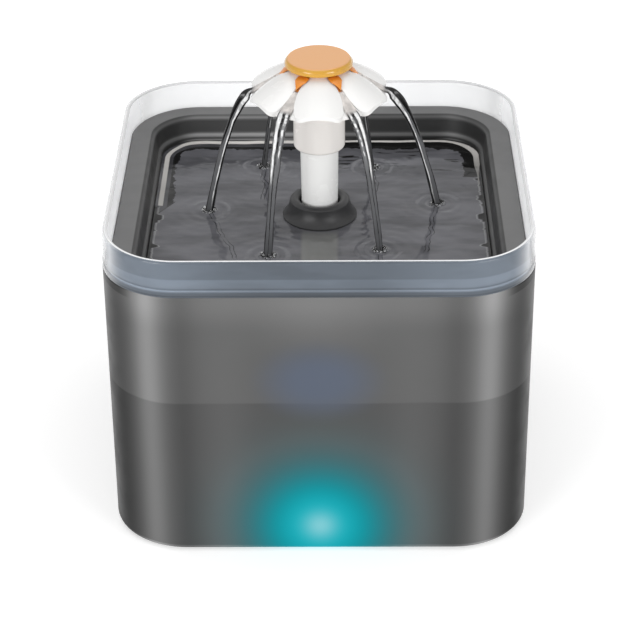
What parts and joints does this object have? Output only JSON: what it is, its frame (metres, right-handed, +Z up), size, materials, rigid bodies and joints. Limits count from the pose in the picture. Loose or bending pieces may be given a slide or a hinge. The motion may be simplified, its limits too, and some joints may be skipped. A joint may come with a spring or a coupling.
{
  "type": "pet water fountain",
  "caption": "Square smoky water tank for pets with a clear splash guard, dark drinking tray, flower spout on a stem, filter basket and lit pump.",
  "frame": {"origin": "on the table under the middle of the tank, level with the undersides of the feet", "axes": "+Z up along the stem; -Y is the front, where the lamp shines through the tank wall; +Y is the back with the cord notch; +X is to the right seen from the front"},
  "size_m": [0.186, 0.186, 0.1982],
  "materials": {
    "tank_smoke": "smoky translucent, polished",
    "clear_plastic": "clear, polished",
    "tray_grey": "fine satin, dark grey",
    "ring_charcoal": "satin, charcoal",
    "riser_clear": "translucent, extruded",
    "silicone": "soft, semi-clear silicone",
    "black_rubber": "moulded, black",
    "stem_white": "polished, white",
    "petal_white": "polished, white",
    "core_orange": "moulded, orange",
    "cap_orange": "moulded, orange",
    "basket_white": "moulded, white",
    "carbon": "granular charcoal",
    "cotton": "felted cotton",
    "pump_black": "fine texture, black",
    "lamination_steel": "stacked sheet edges",
    "copper_winding": "enamelled wire",
    "resin": "cast resin",
    "shaft_ceramic": "ground",
    "outlet_white": "moulded, white",
    "lamp_board": "circuit board with lamps",
    "lamp_teal": "translucent teal",
    "impeller_white": "moulded, white",
    "magnet_ferrite": "sintered",
    "sponge": "open-cell foam",
    "dial_grey": "moulded, mid grey"
  },
  "bodies": {
    "tank": {"tank_shell": "tank_smoke", "cord_grommet": "black_rubber", "foot_1": "black_rubber", "foot_2": "black_rubber", "foot_3": "black_rubber", "foot_4": "black_rubber"},
    "guard": {"splash_guard": "clear_plastic"},
    "tray": {"drinking_tray": "tray_grey", "overflow_ring": "ring_charcoal", "riser_pipe": "riser_clear", "riser_gasket": "silicone", "stem_tube": "stem_white"},
    "flower": {"petal_head": "petal_white", "flower_core": "core_orange"},
    "cap": {"centre_cap": "cap_orange"},
    "basket": {"filter_basket": "basket_white", "carbon_bed": "carbon", "cotton_pad": "cotton"},
    "pump": {"pump_housing": "pump_black", "stator_core": "lamination_steel", "stator_coil": "copper_winding", "potting": "resin", "rotor_shaft": "shaft_ceramic", "rear_bush": "black_rubber", "chamber_cover": "pump_black", "outlet_tube": "outlet_white", "suction_cup_1": "silicone", "suction_cup_2": "silicone", "suction_cup_3": "silicone", "suction_cup_4": "silicone", "lamp_board": "lamp_board", "lamp_lens": "lamp_teal", "cable_gland": "black_rubber"},
    "rotor": {"impeller": "impeller_white", "rotor_magnet": "magnet_ferrite"},
    "hood": {"intake_cover": "pump_black", "prefilter_sponge": "sponge"},
    "dial": {"flow_dial": "dial_grey"}
  },
  "joints": [
    {"name": "guard_lift", "type": "slide", "parent": "tank", "child": "guard", "axis": [0, 0, 1], "range_m": [0, 0.065]},
    {"name": "tray_lift", "type": "slide", "parent": "guard", "child": "tray", "axis": [0, 0, 1], "range_m": [0, 0.08]},
    {"name": "flower_lift", "type": "slide", "parent": "tray", "child": "flower", "axis": [0, 0, 1], "range_m": [0, 0.04]},
    {"name": "cap_lift", "type": "slide", "parent": "flower", "child": "cap", "axis": [0, 0, 1], "range_m": [0, 0.015]},
    {"name": "basket_twist", "type": "hinge", "parent": "tray", "child": "basket", "pos_m": [0, 0, 0.095], "axis": [0, 0, 1], "range_deg": [0, 34]},
    {"name": "pump_lift", "type": "slide", "parent": "tank", "child": "pump", "axis": [0, 0, 1], "range_m": [0, 0.02]},
    {"name": "impeller_spin", "type": "hinge", "parent": "pump", "child": "rotor", "pos_m": [0, 0, 0.0246], "axis": [0, 1, 0], "continuous": true},
    {"name": "hood_pull", "type": "slide", "parent": "pump", "child": "hood", "axis": [0, -1, 0], "range_m": [0, 0.012]},
    {"name": "dial_turn", "type": "hinge", "parent": "hood", "child": "dial", "pos_m": [0, -0.0265, 0.03315], "axis": [0, 1, 0], "range_deg": [0, 60]}
  ]
}
